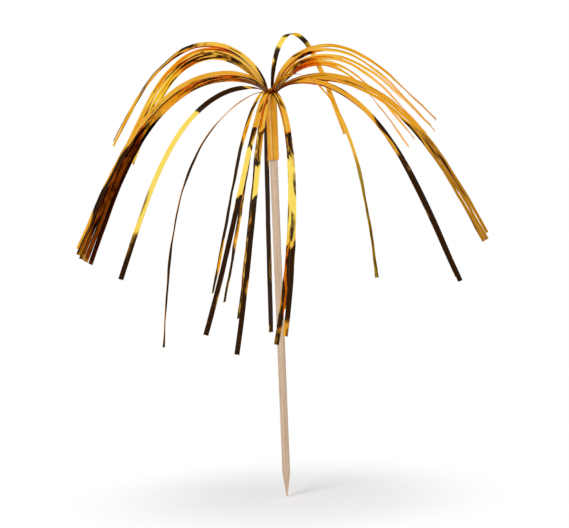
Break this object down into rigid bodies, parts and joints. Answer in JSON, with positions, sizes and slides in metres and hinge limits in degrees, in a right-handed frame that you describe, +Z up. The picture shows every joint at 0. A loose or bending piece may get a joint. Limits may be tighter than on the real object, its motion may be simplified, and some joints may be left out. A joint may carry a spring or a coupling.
{
  "type": "foil burst cocktail pick",
  "caption": "Slender pointed bamboo stick whose top is wound with a fringed gold foil strip, its cut strands bursting out and arching over like a small firework.",
  "frame": {"origin": "on the stick's axis, where the sharpened point ends and the full round shank begins", "axes": "+Z up the stick towards the burst, +X to the right in the picture, -Y towards the pictured side"},
  "size_m": [0.1554, 0.1244, 0.1756],
  "materials": {
    "bamboo": "bare, smooth, satin",
    "gold_film": "metallised film, mirror-bright gold"
  },
  "bodies": {
    "stick_and_header": {"stick": "bamboo", "header_inner_turns": "gold_film", "header_last_turn": "gold_film"},
    "right_tuft": {"right_strand_1": "gold_film", "right_strand_2": "gold_film", "right_strand_3": "gold_film"},
    "right_high_tuft": {"right_high_strand_1": "gold_film", "right_high_strand_2": "gold_film", "right_high_strand_3": "gold_film", "right_high_strand_4": "gold_film", "right_high_strand_5": "gold_film", "right_high_strand_6": "gold_film"},
    "back_right_tuft": {"back_right_strand_1": "gold_film", "back_right_strand_2": "gold_film", "back_right_strand_3": "gold_film"},
    "back_tuft": {"back_strand_1": "gold_film", "back_strand_2": "gold_film", "back_strand_3": "gold_film", "back_strand_4": "gold_film"},
    "back_left_tuft": {"back_left_strand_1": "gold_film", "back_left_strand_2": "gold_film", "back_left_strand_3": "gold_film", "back_left_strand_4": "gold_film", "back_left_strand_5": "gold_film", "back_left_strand_6": "gold_film"},
    "left_tuft": {"left_strand_1": "gold_film", "left_strand_2": "gold_film", "left_strand_3": "gold_film", "left_strand_4": "gold_film", "left_strand_5": "gold_film", "left_strand_6": "gold_film"},
    "left_front_tuft": {"left_front_strand_1": "gold_film"},
    "front_left_tuft": {"front_left_strand_1": "gold_film", "front_left_strand_2": "gold_film"},
    "front_right_tuft": {"front_right_strand_1": "gold_film", "front_right_strand_2": "gold_film", "front_right_strand_3": "gold_film"},
    "right_low_tuft": {"right_low_strand_1": "gold_film", "right_low_strand_2": "gold_film"}
  },
  "joints": [
    {"name": "right_tuft_flex", "type": "hinge", "parent": "stick_and_header", "child": "right_tuft", "pos_m": [0.00177, 0, 0.14315], "axis": [0, 1, 0], "range_deg": [-10, 8], "stiffness_Nm_per_rad": 0.0018, "springref_deg": -1.14},
    {"name": "right_high_tuft_flex", "type": "hinge", "parent": "stick_and_header", "child": "right_high_tuft", "pos_m": [0.00143, 0.00104, 0.14315], "axis": [-0.5878, 0.809, 0], "range_deg": [-8, 8], "stiffness_Nm_per_rad": 0.0036, "springref_deg": -0.79},
    {"name": "back_right_tuft_flex", "type": "hinge", "parent": "stick_and_header", "child": "back_right_tuft", "pos_m": [0.00055, 0.00168, 0.14315], "axis": [-0.9511, 0.309, 0], "range_deg": [-3, 3], "stiffness_Nm_per_rad": 0.0018, "springref_deg": -0.61},
    {"name": "back_tuft_flex", "type": "hinge", "parent": "stick_and_header", "child": "back_tuft", "pos_m": [-0.00055, 0.00168, 0.14315], "axis": [-0.9511, -0.309, 0], "range_deg": [-10, 6], "stiffness_Nm_per_rad": 0.0024, "springref_deg": -0.62},
    {"name": "back_left_tuft_flex", "type": "hinge", "parent": "stick_and_header", "child": "back_left_tuft", "pos_m": [-0.00143, 0.00104, 0.14315], "axis": [-0.5878, -0.809, 0], "range_deg": [-8, 8], "stiffness_Nm_per_rad": 0.0036, "springref_deg": -0.8},
    {"name": "left_tuft_flex", "type": "hinge", "parent": "stick_and_header", "child": "left_tuft", "pos_m": [-0.00177, 0, 0.14315], "axis": [0, -1, 0], "range_deg": [-8, 8], "stiffness_Nm_per_rad": 0.0036, "springref_deg": -1.01},
    {"name": "left_front_tuft_flex", "type": "hinge", "parent": "stick_and_header", "child": "left_front_tuft", "pos_m": [-0.00143, -0.00104, 0.14315], "axis": [0.5878, -0.809, 0], "range_deg": [-10, 8], "stiffness_Nm_per_rad": 0.0006, "springref_deg": -0.91},
    {"name": "front_left_tuft_flex", "type": "hinge", "parent": "stick_and_header", "child": "front_left_tuft", "pos_m": [-0.00055, -0.00168, 0.14315], "axis": [0.9511, -0.309, 0], "range_deg": [-10, 6], "stiffness_Nm_per_rad": 0.0012, "springref_deg": -0.76},
    {"name": "front_right_tuft_flex", "type": "hinge", "parent": "stick_and_header", "child": "front_right_tuft", "pos_m": [0.00055, -0.00168, 0.14315], "axis": [0.9511, 0.309, 0], "range_deg": [-10, 6], "stiffness_Nm_per_rad": 0.0018, "springref_deg": -0.83},
    {"name": "right_low_tuft_flex", "type": "hinge", "parent": "stick_and_header", "child": "right_low_tuft", "pos_m": [0.00143, -0.00104, 0.14315], "axis": [0.5878, 0.809, 0], "range_deg": [-10, 8], "stiffness_Nm_per_rad": 0.0012, "springref_deg": -1.19}
  ]
}
